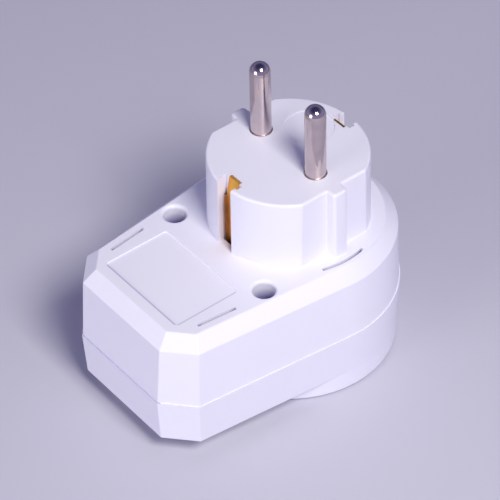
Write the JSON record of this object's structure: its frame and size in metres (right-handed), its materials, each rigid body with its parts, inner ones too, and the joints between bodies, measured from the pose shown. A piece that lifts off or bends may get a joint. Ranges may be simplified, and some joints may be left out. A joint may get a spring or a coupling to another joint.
{
  "type": "switched plug adapter",
  "caption": "Plug-through mains adapter: round pin plug on the back, earthed socket well on the front and a rocker switch beside the well.",
  "frame": {"origin": "on the axis shared by the plug and the socket well, in the plane of the collar's rim", "axes": "+Z from the well to the pins, -X towards the switch, the pins apart along Y"},
  "size_m": [0.0742, 0.0506, 0.0728],
  "materials": {
    "casing": "white moulded thermoplastic, smooth with a soft gloss",
    "carrier": "natural heat-resistant plastic",
    "switch_plastic": "white moulded plastic",
    "rocker_plastic": "white moulded plastic, glossy",
    "plunger_plastic": "natural sliding plastic",
    "plated_pin": "nickel-plated brass, drawn and bright",
    "screw_steel": "zinc-plated steel",
    "earth_brass": "bare brass spring strip",
    "strap_brass": "bare brass sheet",
    "contact_bronze": "spring bronze sheet",
    "spring_steel": "bright spring wire",
    "silver_tip": "silver-faced contact rivet"
  },
  "bodies": {
    "casing": {"rear_cover": "casing", "front_cover": "casing", "contact_carrier": "carrier", "switch_housing": "switch_plastic", "line_pin": "plated_pin", "neutral_pin": "plated_pin", "cover_screw_near": "screw_steel", "cover_screw_far": "screw_steel", "earth_strip_round_end": "earth_brass", "earth_strip_switch_end": "earth_brass", "earth_bridge": "strap_brass", "line_strap": "strap_brass", "load_strap": "strap_brass", "neutral_strap": "strap_brass", "line_contact": "contact_bronze", "neutral_contact": "contact_bronze", "fixed_tip": "silver_tip", "common_terminal": "strap_brass", "output_terminal": "strap_brass"},
    "rocker_set": {"rocker": "rocker_plastic", "rocker_plunger": "plunger_plastic", "plunger_spring": "spring_steel"},
    "lever_set": {"contact_lever": "contact_bronze", "lever_tip": "silver_tip"}
  },
  "joints": [
    {"name": "rocker_hinge", "type": "hinge", "parent": "casing", "child": "rocker_set", "pos_m": [-0.0368, 0, 0.0064], "axis": [1, 0, 0], "range_deg": [0, 24]},
    {"name": "lever_hinge", "type": "hinge", "parent": "casing", "child": "lever_set", "pos_m": [-0.0368, 0, 0.01533], "axis": [1, 0, 0], "range_deg": [-16, 0]}
  ],
  "couplings": [
    {"joint": "lever_hinge", "follows": "rocker_hinge", "ratio": -0.6666}
  ]
}
